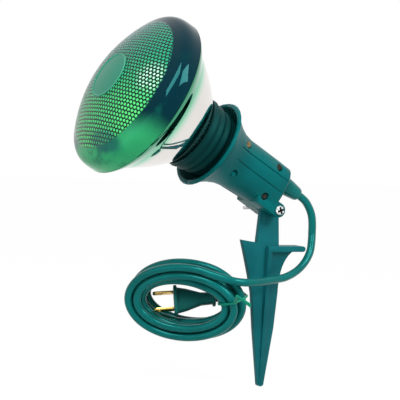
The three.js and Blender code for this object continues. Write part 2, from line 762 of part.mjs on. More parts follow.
// Lamp: pressed glass lens and reflector, metal skirt and screw base
const rimDepth = glassThickness * 2;
const outerPoints = 10;
const innerPoints = 7;
function makeLens() {
  const seam = seamAlong + seatGap / 2;
  const profile = [];
  for (let i = 0; i <= outerPoints; i += 1) {
    const angle = (i / outerPoints) * Math.PI / 2;
    profile.push([lampRadius * Math.cos(angle), seam + (lensRise - seatGap / 2) * Math.sin(angle)]);
  }
  profile[outerPoints][0] = 0;
  for (let i = innerPoints; i >= 0; i -= 1) {
    const angle = (i / innerPoints) * Math.PI / 2;
    const radius = i === innerPoints ? 0 : (lampRadius - glassThickness) * Math.cos(angle);
    profile.push([radius, seam + (lensRise - glassThickness) * Math.sin(angle)]);
  }
  profile.push(profile[0]);
  return revolve(profile, lampSteps);
}
addPiece(barrel, 'lamp_lens', makeLens(), lensGreen);

function makeReflector() {
  const seam = seamAlong - seatGap / 2;
  const neckAlong = vertexAlong + neckGlassRadius ** 2 / (4 * focalLength);
  const rimAlong = seam - rimDepth;
  const profile = [[lampRadius, seam], [lampRadius * 0.995, seam - rimDepth / 2]];
  for (let i = 0; i <= outerPoints; i += 1) {
    const radius = lerp(glassRadius(rimAlong - rimDepth / 2), neckGlassRadius, i / outerPoints);
    profile.push([radius, vertexAlong + radius ** 2 / (4 * focalLength)]);
  }
  profile.push([neckGlassRadius, neckAlong - rimDepth]);
  profile.push([neckGlassRadius - glassThickness, neckAlong - rimDepth]);
  for (let i = 0; i <= innerPoints; i += 1) {
    const radius = lerp(neckGlassRadius, glassRadius(rimAlong), i / innerPoints);
    const along = vertexAlong + radius ** 2 / (4 * focalLength);
    profile.push([radius - glassThickness * 0.95, along + glassThickness * 0.4]);
  }
  profile.push([lampRadius - glassThickness, seam]);
  profile.push(profile[0]);
  return revolve(profile, lampSteps);
}
addPiece(barrel, 'lamp_reflector', makeReflector(), mirror);

const baseTop = lampTipAlong + tipHeight + insulatorLength + baseShellLength;
function makeSkirt() {
  const top = vertexAlong + skirtRadius ** 2 / (4 * focalLength) - seatGap * 4;
  const shoulder = lerp(baseTop, top, skirtConeShare);
  const profile = [
    [baseShellRadius - skirtWall, baseTop + seatGap],
    [baseShellRadius, baseTop + seatGap],
    [baseShellRadius, baseTop + seatGap + skirtWall * 2],
    [skirtRadius, shoulder],
    [skirtRadius, top],
    [skirtRadius - skirtWall, top],
    [skirtRadius - skirtWall, shoulder],
    [baseShellRadius - skirtWall, baseTop + seatGap + skirtWall * 3],
    [baseShellRadius - skirtWall, baseTop + seatGap],
  ];
  return revolve(profile, innerSteps);
}
addPiece(barrel, 'lamp_skirt', makeSkirt(), steel);

const baseFloor = baseTop - baseShellLength;
function makeBaseShell() {
  const profile = [
    [tipRadius + skirtWall, baseFloor],
    [baseShellRadius - skirtWall, baseFloor],
    [baseShellRadius, baseFloor + skirtWall],
    [baseShellRadius, baseTop],
    [baseShellRadius - skirtWall, baseTop],
    [baseShellRadius - skirtWall, baseFloor + skirtWall * 2],
    [tipRadius + skirtWall, baseFloor + skirtWall],
    [tipRadius + skirtWall, baseFloor],
  ];
  return revolve(profile, innerSteps);
}
addPiece(barrel, 'lamp_base_shell', makeBaseShell(), brass);

const insulatorProfile = [
  [0, lampTipAlong + tipHeight + seatGap],
  [tipRadius, lampTipAlong + tipHeight + seatGap],
  [baseShellRadius - skirtWall * 2, baseFloor - seatGap],
  [0, baseFloor - seatGap],
];
addPiece(barrel, 'lamp_insulator', revolve(insulatorProfile, smallSteps), phenolic);
const tipProfile = [
  [0, lampTipAlong],
  [tipRadius * 0.5, lampTipAlong + tipHeight * 0.15],
  [tipRadius * 0.9, lampTipAlong + tipHeight * 0.6],
  [tipRadius * 0.9, lampTipAlong + tipHeight],
  [0, lampTipAlong + tipHeight],
];
addPiece(barrel, 'lamp_tip_contact', revolve(tipProfile, smallSteps), brass);

// Lamp inside: stem, two posts and the filament at the reflector's focus
const stemRear = vertexAlong + seatGap;
const stemFront = stemRear + focalLength * stemShare;
addPiece(barrel, 'lamp_stem', rod(stemRadius, stemRear, stemFront, innerSteps), ceramic);
const focusAlong = vertexAlong + focalLength;
for (const [name, side] of [['lamp_post_left', -1], ['lamp_post_right', 1]]) {
  const post = rod(postRadius, stemFront + seatGap, focusAlong - filamentThickness - seatGap, 8);
  addPiece(barrel, name, post.translate(0, side * filamentRadius, 0), steel);
}
const filamentPath = [];
for (let i = 0; i <= 16; i += 1) {
  const angle = (i / 16) * Math.PI;
  filamentPath.push(new THREE.Vector3(
    filamentRadius * Math.sin(angle), -filamentRadius * Math.cos(angle), focusAlong,
  ));
}
addPiece(barrel, 'lamp_filament', tube(filamentPath, filamentThickness, 6), steel);

// Cord: its points are chosen by hand, as places right, up and nearer in the view of viewTurn
part.updateMatrixWorld(true);
const viewRight = new THREE.Vector3(Math.cos(rad(viewTurn)), Math.sin(rad(viewTurn)), 0);
const viewNear = new THREE.Vector3(Math.sin(rad(viewTurn)), -Math.cos(rad(viewTurn)), 0);
function viewPoint([right, up, near]) {
  return new THREE.Vector3(0, 0, pivotHeight + up)
    .addScaledVector(viewRight, right)
    .addScaledVector(viewNear, near);
}
const barrelPoint = (x, y, z) => barrel.localToWorld(new THREE.Vector3(x, y, z));

const coilFacing = rad(viewTurn + coilTurn);
const coilRight = new THREE.Vector3(Math.cos(coilFacing), Math.sin(coilFacing), 0);
const facingFlat = new THREE.Vector3(Math.sin(coilFacing), -Math.cos(coilFacing), 0);
const coilAxis = facingFlat.clone().multiplyScalar(Math.cos(rad(coilLean)));
coilAxis.z -= Math.sin(rad(coilLean));
const coilUp = new THREE.Vector3().crossVectors(coilAxis, coilRight);
const coilCentre = viewPoint(coilPlace);
function coilPoint(x, y, z) {
  return coilCentre.clone()
    .addScaledVector(coilRight, x)
    .addScaledVector(coilUp, y)
    .addScaledVector(coilAxis, z);
}

// The wound path: in and out by turns, a layer deeper at each reversal
const coilTurns = coilLayers * turnsPerLayer - coilEndCut / 360;
function coilPathPoint(turn) {
  const layer = Math.min(Math.floor(turn / turnsPerLayer), coilLayers - 1);
  const within = turn - layer * turnsPerLayer;
  const inward = layer % 2 === 0 ? within : turnsPerLayer - within;
  const nearest = Math.round(turn / turnsPerLayer);
  let depthStep = layer;
  if (nearest > 0 && nearest < coilLayers) {
    const past = turn - nearest * turnsPerLayer;
    if (Math.abs(past) < 0.25) {
      depthStep = nearest - 0.5 + past * 2;
    }
  }
  const angle = rad(coilStartAngle) + turn * Math.PI * 2;
  const z = ((coilLayers - 1) / 2 - depthStep) * coilLayerPitch;
  return coilPoint(
    (coilHalfWidth - inward * coilPitch) * Math.cos(angle),
    (coilHalfHeight - inward * coilPitch) * Math.sin(angle),
    z,
  );
}
const coilPath = [];
const coilStepCount = Math.round(coilTurns * coilSteps);
for (let i = 0; i <= coilStepCount; i += 1) {
  coilPath.push(coilPathPoint((i / coilStepCount) * coilTurns));
}
const startRun = new THREE.Vector3().subVectors(coilPath[0], coilPath[1]).normalize();
const endRun = coilPath[coilStepCount].clone().sub(coilPath[coilStepCount - 1]).normalize();
const coilStart = coilPath[0].clone().addScaledVector(startRun, cordRadius * 2);
const coilEnd = coilPath[coilStepCount].clone().addScaledVector(endRun, cordRadius * 2);
coilPath.unshift(coilStart);
coilPath.push(coilEnd);
addPiece(part, 'cord_coil', tube(coilPath, cordRadius, 6), cordGreen);

// Least gap between turns of the coil, on the path's points
let leastGap = Infinity;
coilPath.forEach((point, i) => {
  for (let j = i + 8; j < coilPath.length; j += 1) {
    leastGap = Math.min(leastGap, point.distanceTo(coilPath[j]) - 2 * cordRadius);
  }
});
console.log(`least gap between turns ${leastGap.toFixed(2)} mm`);

// Tie: a loop drawn tight around the coil's strands, twisted at its front, with two free ends
const tieStrands = [];
for (let turn = tieShare; turn < coilTurns; turn += 1) {
  tieStrands.push(coilPathPoint(turn));
}
const tieAngle = rad(coilStartAngle + tieShare * 360);
const tieOutward = coilPoint(Math.cos(tieAngle), Math.sin(tieAngle), 0).sub(coilCentre);
const tieClearance = cordRadius + seatGap + tieRadius;
function tieLoopPoint(angle) {
  const direction = tieOutward.clone().multiplyScalar(Math.cos(angle));
  direction.addScaledVector(coilAxis, Math.sin(angle));
  const reach = (strand) => strand.dot(direction);
  const outermost = tieStrands.reduce((best, strand) => (reach(strand) > reach(best) ? strand : best));
  return outermost.clone().addScaledVector(direction, tieClearance);
}
function makeTie() {
  const loop = [];
  for (let i = 0; i <= tieSteps; i += 1) {
    loop.push(tieLoopPoint(rad(tieKnotAngle + (i / tieSteps) * 360)));
  }
  const knot = loop[0];
  const knotOutward = knot.clone().sub(tieStrands[0]).normalize();
  const twistEnd = knot.clone()
    .addScaledVector(knotOutward, tieTwistLength * 0.6)
    .addScaledVector(coilUp, tieTwistLength * 0.8);
  let solid = toSolid(tube(loop.slice(0, tieSteps), tieRadius, 6));
  solid = solid.add(toSolid(tube([loop[tieSteps - 1], knot, twistEnd], tieRadius * 1.5, 6)));
  for (const fall of [0.75, 0.6]) {
    const end = twistEnd.clone()
      .addScaledVector(coilRight, tieEndLength)
      .addScaledVector(coilUp, -tieEndLength * fall);
    solid = solid.add(toSolid(tube([twistEnd, end], tieRadius, 6)));
  }
  return toGeometry(solid);
}
addPiece(part, 'cord_tie', makeTie(), rubberGreen);

const leadRoute = [
  [25.7, 3, -17.5], [29.6, -3.3, -19.5], [32.4, -10.2, -20.5], [33.6, -17.7, -20], [33.9, -23.5, -18.5],
  [33.1, -31.5, -15.5], [30.2, -38.3, -11.5], [25.8, -43.9, -6.5], [20.7, -47.7, -1], [15, -50.3, 4.5],
  [10, -51.3, 9], [3.6, -51.4, 14], [-2, -51, 18], [-7.7, -50, 22], [-13.4, -48.6, 25.5],
  [-19.2, -46.3, 29],
];

// A free stretch of cord: straight and square out of the face at each end, and smooth between
function cordStretch(start, startDirection, route, end, endDirection, steps) {
  const straight = cordRadius * 1.3;
  const curve = new THREE.CatmullRomCurve3([
    start.clone().addScaledVector(startDirection, straight),
    ...route,
    end.clone().addScaledVector(endDirection, straight),
  ], false, 'centripetal');
  return tube([start, ...curve.getSpacedPoints(steps), end], cordRadius, 8);
}
const leadStart = barrelPoint(reliefRise, 0, -reliefLength - seatGap);
const leadDirection = new THREE.Vector3(0, 0, -1).transformDirection(barrel.matrixWorld);
const leadEnd = coilStart.clone().addScaledVector(startRun, seatGap);
addPiece(part, 'cord_lead', cordStretch(
  leadStart, leadDirection, leadRoute.map(viewPoint), leadEnd, startRun, 34,
), cordGreen);

// Plug, in the coil's opening, and the tail of cord behind the coil that leads to it
const plugRear = coilPoint(...plugRearPlace);
const plugFront = coilPoint(...plugFrontPlace);
const plugAlong = new THREE.Vector3().subVectors(plugFront, plugRear).normalize();
const plugSide = coilAxis.clone().applyAxisAngle(plugAlong, rad(plugRoll));
plugSide.addScaledVector(plugAlong, -plugSide.dot(plugAlong)).normalize();
const plugUp = new THREE.Vector3().crossVectors(plugAlong, plugSide);
const plugFrame = new THREE.Matrix4().makeBasis(plugSide, plugUp, plugAlong).setPosition(plugRear);

const tailRoute = [
  [31.5, -17.8, -14.3], [34.8, -12, -16.2], [35.2, -6.5, -16.6], [32.4, -2.8, -16.4], [28, -1.6, -15.2],
];
const tailStart = coilEnd.clone().addScaledVector(endRun, seatGap);
const tailEnd = plugRear.clone().addScaledVector(plugAlong, -seatGap);
addPiece(part, 'cord_tail', cordStretch(
  tailStart, endRun, tailRoute.map(([x, y, z]) => coilPoint(x, y, z)),
  tailEnd, plugAlong.clone().negate(), 12,
), cordGreen);

// Plug: a flat moulded grip with a flange behind the blades and a stop at the cord
const plugBodyRings = [
  [0, plugRearDepth * 1.35, plugRearHeight * 1.35, 3],
  [plugStopThickness, plugRearDepth * 1.35, plugRearHeight * 1.35, 3],
  [plugStopThickness * 1.1, plugRearDepth, plugRearHeight, 3],
  [plugLength * 0.35, plugRearDepth * 1.1, plugRearHeight, 3],
  [plugLength * 0.7, lerp(plugRearDepth, plugFrontDepth, 0.75), plugFrontHeight * 0.9, 3.5],
  [plugLength - plugFlangeThickness * 1.1, plugFrontDepth, plugFrontHeight, 4],
  [plugLength - plugFlangeThickness, plugFlangeDepth, plugFlangeHeight, 4],
  [plugLength, plugFlangeDepth, plugFlangeHeight, 4],
];
addPiece(part, 'plug_body', loft(plugBodyRings, 20).applyMatrix4(plugFrame), rubberGreen);

function makeBlade(width, side) {
  const root = plugLength + seatGap;
  const blade = new THREE.Shape();
  blade.moveTo(-width / 2, root);
  blade.lineTo(width / 2, root);
  blade.lineTo(width / 2, root + bladeLength - width / 4);
  blade.lineTo(width / 4, root + bladeLength);
  blade.lineTo(-width / 4, root + bladeLength);
  blade.lineTo(-width / 2, root + bladeLength - width / 4);
  const hole = new THREE.Path();
  hole.absarc(0, root + bladeLength * 0.72, plugBladeThickness, 0, Math.PI * 2, true);
  blade.holes.push(hole);
  const geometry = slab(blade, plugBladeThickness, -plugBladeThickness / 2).rotateZ(Math.PI / 2);
  return geometry.translate(side * bladeSpacing / 2, 0, 0).applyMatrix4(plugFrame);
}
addPiece(part, 'plug_blade_hot', makeBlade(hotBladeWidth, -1), brass);
addPiece(part, 'plug_blade_neutral', makeBlade(neutralBladeWidth, 1), brass);

export default part;
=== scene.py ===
# %% [markdown]
# A light projector stake: a green floodlamp in a tilting lampholder on a ground spike, with its
# coiled cord. The CAD model gives every place and size. This file gives each piece the surface
# that the eye meets: pressed glass, silvering, moulded plastic, glossy cord and brass. It is read
# from top to bottom, and each cell needs only what stands above it.

# %% The frame and its box
from math import cos, floor, pi, radians, sin, sqrt

import bpy
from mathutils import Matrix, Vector
from mathutils.geometry import interpolate_bezier
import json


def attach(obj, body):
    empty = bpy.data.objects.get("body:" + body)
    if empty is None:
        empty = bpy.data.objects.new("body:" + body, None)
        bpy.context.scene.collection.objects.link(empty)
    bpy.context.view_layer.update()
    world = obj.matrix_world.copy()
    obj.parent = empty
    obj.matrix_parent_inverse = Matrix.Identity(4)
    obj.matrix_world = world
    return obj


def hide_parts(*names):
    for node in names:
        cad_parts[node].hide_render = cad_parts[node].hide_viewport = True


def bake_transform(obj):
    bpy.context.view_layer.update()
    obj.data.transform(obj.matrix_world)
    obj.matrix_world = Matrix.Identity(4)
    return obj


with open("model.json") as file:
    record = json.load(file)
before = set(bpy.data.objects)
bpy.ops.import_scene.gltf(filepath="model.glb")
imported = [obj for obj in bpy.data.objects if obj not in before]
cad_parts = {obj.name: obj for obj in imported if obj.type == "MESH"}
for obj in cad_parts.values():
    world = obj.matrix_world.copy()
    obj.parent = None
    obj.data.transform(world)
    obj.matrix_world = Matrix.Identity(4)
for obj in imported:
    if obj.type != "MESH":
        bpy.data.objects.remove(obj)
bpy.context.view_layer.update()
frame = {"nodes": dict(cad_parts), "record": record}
mm = 0.001

# %% [markdown]
# Two directions are needed again and again. The photograph fixes the camera's. The lamp's own
# come from its tilt: one along its axis and one across it, upwards. Working them out once, as
# vectors, keeps every later place a plain sum.

# %% Directions and places
tilt = radians(28.6)
lamp_axis = Vector((-cos(tilt), 0, sin(tilt)))
lamp_up = Vector((sin(tilt), 0, cos(tilt)))
lamp_side = Vector((0, 1, 0))
upright = Vector((0, 0, 1))
pivot_height, housing_rise, housing_ahead = 134, 14.7, 3.3
pivot = pivot_height * mm * upright
housing_rear = pivot + housing_rise * mm * lamp_up + housing_ahead * mm * lamp_axis


def on_housing(up, side, along):
    """A place in millimetres up, sideways and along from the middle of the housing's rear face."""
    return housing_rear + mm * (up * lamp_up + side * lamp_side + along * lamp_axis)


print("housing's rear face:", [round(value, 4) for value in housing_rear])

# %% [markdown]
# The camera stands 1.2 m away, a little above the tilt joint and slightly rolled, as the
# photograph shows. A matrix built from its three directions sets the roll with no trial and error.

# %% Camera
azimuth, elevation, roll = radians(-33), radians(3.42), radians(3.1)
camera_distance, look_left, look_up, focal_length = 1.2, 51.5, 6.6, 144
back = Vector((sin(azimuth) * cos(elevation), -cos(azimuth) * cos(elevation), sin(elevation)))
level = upright.cross(back).normalized()
camera_right = cos(roll) * level + sin(roll) * back.cross(level)
camera_up = cos(roll) * back.cross(level) - sin(roll) * level
camera_at = pivot + camera_distance * back
looks_at = pivot - look_left * mm * camera_right + look_up * mm * camera_up
to_camera = (camera_at - looks_at).normalized()
right_edge = (camera_right - camera_right.dot(to_camera) * to_camera).normalized()
top_edge = to_camera.cross(right_edge)


def posed(thing, right, up, behind, place):
    """Puts a camera or lamp at a place, by the directions of its right, its top and its back."""
    matrix = thing.matrix_world.copy()
    for row in range(3):
        for column, vector in enumerate((right, up, behind, place)):
            matrix[row][column] = vector[row]
    thing.matrix_world = matrix


bpy.ops.object.camera_add()
camera = bpy.context.object
posed(camera, right_edge, top_edge, to_camera, camera_at)
camera.data.lens = focal_length
camera.data.clip_start = 0.05
bpy.context.scene.camera = camera
bpy.context.scene.view_settings.view_transform = "Standard"
print("camera at", [round(value, 3) for value in camera_at])

# %% [markdown]
# Shader maths is easier to read as sums than as a list of nodes. A small class holds one number
# socket, and Python's own signs on it add the Math nodes. A second class holds a node tree, with
# one method that adds any other node. A third is one finish: its material and surface shader.

# %% Sums on sockets
class Amount:
    """One number socket."""

    def __init__(self, finish, socket):
        self.finish, self.socket = finish, socket

    def maths(self, operation, *values):
        return self.finish.maths(operation, *values)

    def __add__(self, other):
        return self.maths("ADD", self, other)

    def __radd__(self, other):
        return self.maths("ADD", other, self)

    def __sub__(self, other):
        return self.maths("SUBTRACT", self, other)

    def __rsub__(self, other):
        return self.maths("SUBTRACT", other, self)

    def __mul__(self, other):
        return self.maths("MULTIPLY", self, other)

    def __rmul__(self, other):
        return self.maths("MULTIPLY", other, self)

    def __truediv__(self, other):
        return self.maths("DIVIDE", self, other)


# %% One node tree
class Nodes:
    """The nodes of a material or of the world."""

    def __init__(self, tree):
        self.tree = tree

    def add(self, kind, settings, *values, out=0, **named):
        """Adds a node with its settings, then its sockets in order or by name, and gives one output."""
        node = self.tree.nodes.new(kind)
        for key, value in settings.items():
            setattr(node, key, value)
        for key, value in [*enumerate(values), *named.items()]:
            self.put(node.inputs[key], value)
        return Amount(self, node.outputs[out])

    def maths(self, operation, *values):
        return self.add("ShaderNodeMath", {"operation": operation}, *values)

    def put(self, socket, value):
        if isinstance(value, Amount):
            self.tree.links.new(value.socket, socket)
        elif value is not None:
            socket.default_value = value

    def seen_directly(self):
        """1 for camera, glossy and transmitted rays, otherwise 0."""
        camera_ray, glossy, through = [self.add("ShaderNodeLightPath", {}, out=ray) for ray in
                                       ("Is Camera Ray", "Is Glossy Ray", "Is Transmission Ray")]
        return self.maths("MAXIMUM", self.maths("MAXIMUM", camera_ray, glossy), through)


# %% One finish
class Finish(Nodes):
    """A material; gloss is its specular level, and sheen tints what it mirrors head on."""

    def __init__(self, name, roughness=0.5, metallic=0.0, gloss=0.12, sheen=(0.15, 1, 0.95, 1)):
        self.material = bpy.data.materials.new(name)
        self.material.use_nodes = True
        super().__init__(self.material.node_tree)
        self.surface = self.tree.nodes["Principled BSDF"]
        self.shows(Roughness=roughness, Metallic=metallic, Specular_IOR_Level=gloss, Specular_Tint=sheen)
        self.place = self.add("ShaderNodeTexCoord", {}, out="Object")

    def shows(self, **named):
        """Feeds the surface shader; an underscore stands for a space in a socket's name."""
        for key, value in named.items():
            self.put(self.surface.inputs[key.replace("_", " ")], value)

    def noise(self, scale, detail, roughness=0.5):
        """Soft clouds; the larger the scale, the smaller they are."""
        return self.add("ShaderNodeTexNoise", {}, Vector=self.place, Scale=scale,
                        Detail=detail, Roughness=roughness)

    def ramp(self, amount, low, high):
        """0 where the amount is under low, 1 where it is over high, smooth between."""
        return self.add("ShaderNodeMapRange", {"interpolation_type": "SMOOTHSTEP"},
                        Value=amount, **{"From Min": low, "From Max": high})

    def blend(self, share, first, second):
        """The first colour where the share is 0, the second where it is 1."""
        return self.add("ShaderNodeMix", {"data_type": "RGBA"}, share, *[None] * 5, first, second, out=2)

    def layered(self, tone, *layers):
        """A first colour, with each (share, colour) layer laid over it in turn."""
        for share, cover in layers:
            tone = self.blend(share, tone, cover)
        return tone

    def bump(self, height, distance):
        """Bumps so many millimetres high where the height is 1."""
        return self.add("ShaderNodeBump", {}, Strength=1.0, Distance=distance * mm, Height=height,
                        out="Normal")

    def measured(self, direction, start):
        """Millimetres along a direction from a place."""
        offset = self.add("ShaderNodeVectorMath", {"operation": "SUBTRACT"}, self.place, start)
        dot = self.add("ShaderNodeVectorMath", {"operation": "DOT_PRODUCT"}, offset, direction, out="Value")
        return dot * 1000


def colour(red, green, blue):
    """A colour as an image shows it, 0 to 255, in the linear values that a shader takes."""
    def linear(value):
        value /= 255
        return value / 12.92 if value <= 0.04045 else ((value + 0.055) / 1.055) ** 2.4
    return (linear(red), linear(green), linear(blue), 1)


# %% [markdown]
# The finishes of the plastics. Moulded plastic isn't one flat colour: it has a faint orange peel,
# a slow drift of tone where the melt cooled, and dust in its texture. A photograph wrapped round the
# piece would need a file and would stretch. Two sizes of noise need neither: the large one carries
# the tone and the fine one the bump, and the roughness follows the finer one.

# %% Plastics
plain_sheen = (1, 1, 1, 1)


def moulded(name, tone, shade, roughness, peel=0.02, grain=900, **more):
    """A plastic of two close colours, 0 to 255; peel is the height of its texture in millimetres."""
    finish = Finish(name, **more)
    drift = finish.noise(28, detail=2)
    fine = finish.noise(grain, detail=4, roughness=0.6)
    tone_share = finish.ramp(drift * 0.8 + fine * 0.2, 0.35, 0.65)
    finish.shows(Base_Color=finish.blend(tone_share, colour(*shade), colour(*tone)),
                 Roughness=fine * 0.12 + (roughness - 0.06),
                 Normal=finish.bump(fine, peel))
    return finish.material


plastics = {
    name: moulded(name, *values, **more) for name, values, more in [
        ("housing_plastic", ((4, 88, 89), (4, 76, 78), 0.4, 0.03), {}),
        ("stake_plastic", ((14, 88, 94), (10, 76, 82), 0.42, 0.03), {"gloss": 0.25}),
        ("plug_vinyl", ((26, 92, 88), (20, 78, 74), 0.45, 0.04), {"gloss": 0.25}),
        ("boot_rubber", ((6, 46, 46), (4, 36, 37), 0.5, 0.05), {"grain": 700}),
        ("tie_plastic", ((20, 124, 96), (12, 104, 84), 0.3), {"gloss": 0.3}),
        ("black_moulding", ((34, 31, 29), (26, 24, 23), 0.5, 0.03), {"sheen": plain_sheen}),
        ("white_insulation", ((226, 222, 212), (214, 209, 198), 0.4), {"sheen": plain_sheen}),
        ("black_insulation", ((30, 30, 31), (22, 22, 23), 0.35), {"sheen": plain_sheen}),
        ("white_ceramic", ((232, 228, 216), (220, 214, 200), 0.55), {"sheen": plain_sheen}),
        ("black_glass", ((30, 30, 36), (22, 22, 28), 0.1, 0.01), {"gloss": 0.5, "sheen": plain_sheen}),
    ]
}
print("plastics:", len(plastics))

# %% [markdown]
# The metals. The plug's brass blades are bright, with darker smears where they have been handled,
# while the two rear screws of the housing are painted dark, as painted shade in their recesses.
# Zinc plate is greyer, with a cloudy grain. Metal gets nearly all its look from what it reflects, so
# one recipe with two close colours does for all of them, and the roughness tells polished from dull.

# %% Metals
def plated(name, tone, shade, roughness):
    """A metal with clouds of a second colour, 0 to 255."""
    finish = Finish(name, metallic=1.0, gloss=0.5, sheen=plain_sheen)
    clouds = finish.noise(120, detail=5, roughness=0.65)
    scratches = finish.noise(1500, detail=3, roughness=0.7)
    finish.shows(Base_Color=finish.blend(finish.ramp(clouds, 0.35, 0.7), colour(*tone), colour(*shade)),
                 Roughness=clouds * 0.25 + (roughness - 0.1),
                 Normal=finish.bump(scratches, 0.006))
    return finish.material


metals = {
    name: plated(name, *values) for name, *values in [
        ("bright_brass", (236, 202, 112), (214, 170, 84), 0.24),
        ("dull_brass", (184, 152, 92), (132, 108, 66), 0.38),
        # The two rear screws, painted dark as painted shade in their recesses.
        ("dark_screw", (52, 52, 48), (30, 32, 32), 0.45),
        ("aged_brass", (124, 108, 78), (70, 64, 50), 0.5),
        ("zinc_plate", (190, 192, 194), (140, 142, 146), 0.3),
        ("spun_aluminium", (206, 207, 208), (188, 190, 190), 0.35),
    ]
}
print("metals:", len(metals))

# %% [markdown]
# The tilt screw has a bright pan head with a cross recess for the driver. The recess could be cut
# into the mesh, but it is a few pixels wide in the picture. So the finish paints it as a dark cross of
# painted shade, worked out from how far a place lies from two lines through the screw's middle.

# %% The tilt screw's head
screw_head = Finish("screw_head", metallic=1.0, gloss=0.5, sheen=plain_sheen)
cross_turn, arm_width, arm_reach = radians(20), 0.95, 3
across_arms = [
    Vector((cos(cross_turn), 0, sin(cross_turn))),
    Vector((-sin(cross_turn), 0, cos(cross_turn))),
]
from_arms = [screw_head.maths("ABSOLUTE", screw_head.measured(line, pivot)) for line in across_arms]
# Painted shade: the recess mask paints the cross dark, and the same mask bumps it in.
recess = screw_head.ramp(arm_width - screw_head.maths("MINIMUM", *from_arms), 0, 0.3)
recess = recess * screw_head.ramp(arm_reach - screw_head.maths("MAXIMUM", *from_arms), 0, 0.4)
handled = screw_head.noise(300, detail=4, roughness=0.6)
screw_head.shows(
    Base_Color=screw_head.layered(
        colour(250, 250, 250), (handled, colour(226, 228, 230)), (recess, colour(20, 26, 28))),
    Roughness=handled * 0.2 + 0.2,
    Normal=screw_head.bump(1 - recess, 0.6))
print("screw head made")

# %% [markdown]
# The lens is pressed green glass. Its middle is a plain disc, the shoulder is smooth, and between
# them stand rows of small beads, each a tiny lens that shows the bright mirror behind it, with a
# dark gap between two beads. The rows run across the lamp, and every other row is shifted by half
# a bead. Over a thousand modelled beads would make a heavy mesh. The finish works them out from the
# place on the lens instead, as bumps with painted light: a bright middle for the mirror shining
# through, and a dark gap. So they also turn with the lamp.

# %% Places on the lens
green_glass = Finish("green_glass", gloss=0.2)
lens_up = green_glass.measured(lamp_up, housing_rear)
lens_side = green_glass.measured(lamp_side, housing_rear)
wobble = green_glass.noise(60, detail=2)
bead_tone = green_glass.noise(900, detail=1)
streaks = green_glass.noise(26, detail=4, roughness=0.6)


def length_of(first, second):
    return green_glass.maths("SQRT", first * first + second * second)


def patch(up, side, reach, fade):
    """1 within a round patch of the lens, fading at its edge, all in millimetres."""
    return green_glass.ramp(reach - length_of(lens_up - up, lens_side - side), 0, fade)


from_axis = length_of(lens_up, lens_side)
print("nodes for places on the lens:", len(green_glass.tree.nodes))

# %% Beads in shifted rows
bead_pitch, row_pitch, disc_edge, beads_end = 2.9, 2.61, 17.2, 53
row = (lens_up + (wobble - 0.5) * 0.8) / row_pitch
row_number = green_glass.maths("FLOOR", row)
shift = green_glass.maths("MODULO", green_glass.maths("ABSOLUTE", row_number), 2) * 0.5
place_in_row = lens_side / bead_pitch + shift
off_middle = place_in_row - green_glass.maths("FLOOR", place_in_row) - 0.5
off_row = row - row_number - 0.5
bead_reach = off_middle * off_middle + off_row * off_row * 0.8
dome = green_glass.ramp(0.24 - bead_reach, 0, 0.2)
beaded = green_glass.ramp(from_axis, disc_edge + 0.4, disc_edge + 1.2)
beaded = beaded * green_glass.ramp(beads_end - from_axis, 0, 1.5)
print("beads about", bead_pitch, "mm apart")

# %% [markdown]
# What the lens shows is painted by place, as painted light and painted reflections: greener and
# lighter in its lower part, bluer at the far side, lime where the mirror gathers the light, a
# sprinkle of painted white glints, and a painted dark oval low down. The smooth shoulder is painted
# nearly black, a painted reflection of the dark, and green where light comes through, with darker
# streaks, and a lighter ring is painted at the disc's rim. Clear glass would show that only in the
# studio of the photograph, so the colours are laid on by place, one over another, and the gloss on
# top is real.

# %% Light and dark on the lens
oval_blue = colour(8, 66, 74)
# Painted light: lighter low down and bluer at the far side, for the light coming through the glass.
lower = green_glass.ramp(-1 * lens_up - lens_side * 0.35 + (wobble - 0.5) * 30, -18, 42)
far_side = green_glass.ramp(lens_side + lens_up * 0.6, -10, 60)
# Painted light: a lime patch where the mirror gathers the light, and a patch of painted white glints.
lime, painted_glint_spot = patch(-26, -42, 24, 22), patch(4, -44, 15, 12)
# A dark oval painted low down on the lens.
painted_dark_oval = green_glass.ramp(1.1 - length_of((lens_up + 46) / 8, (lens_side + 20) / 19), 0, 0.5)
# Painted light: each bead's middle is painted bright, as the mirror shining through it.
painted_bead_light = green_glass.ramp(dome * 0.7 + bead_tone * 0.6, 0.4, 0.95)
# Painted highlights: white glints on the bead middles within that patch.
painted_sparkle = painted_glint_spot * green_glass.ramp(dome, 0.7, 1) * green_glass.ramp(bead_tone, 0.35, 0.6)
# Painted light on the shoulder, where light comes through.
painted_lit_shoulder = green_glass.ramp(-1 * lens_up - lens_side * 0.3, 34, 52)
painted_lit_shoulder = painted_lit_shoulder * green_glass.ramp(from_axis, 30, 40)
shoulder_streaks = green_glass.ramp(streaks, 0.5, 0.62) * green_glass.ramp(from_axis, 48, 52)
disc_rim = green_glass.ramp(1 - green_glass.maths("ABSOLUTE", from_axis - disc_edge), 0.3, 0.9)
print("nodes with the light and dark:", len(green_glass.tree.nodes))

# %% The lens's colours
# The painted glow of the beads: the mirror's light, painted by place.
glow = green_glass.layered(
    colour(30, 150, 112),
    (lower, colour(72, 200, 112)),
    (far_side * (1 - lower), colour(22, 120, 120)),
    (lime * 0.8, colour(92, 226, 120)),
)
beads = green_glass.layered(
    colour(0, 18, 22),
    (painted_bead_light, glow),
    (painted_sparkle, colour(226, 244, 236)),
    (painted_dark_oval * 0.6, oval_blue),
)
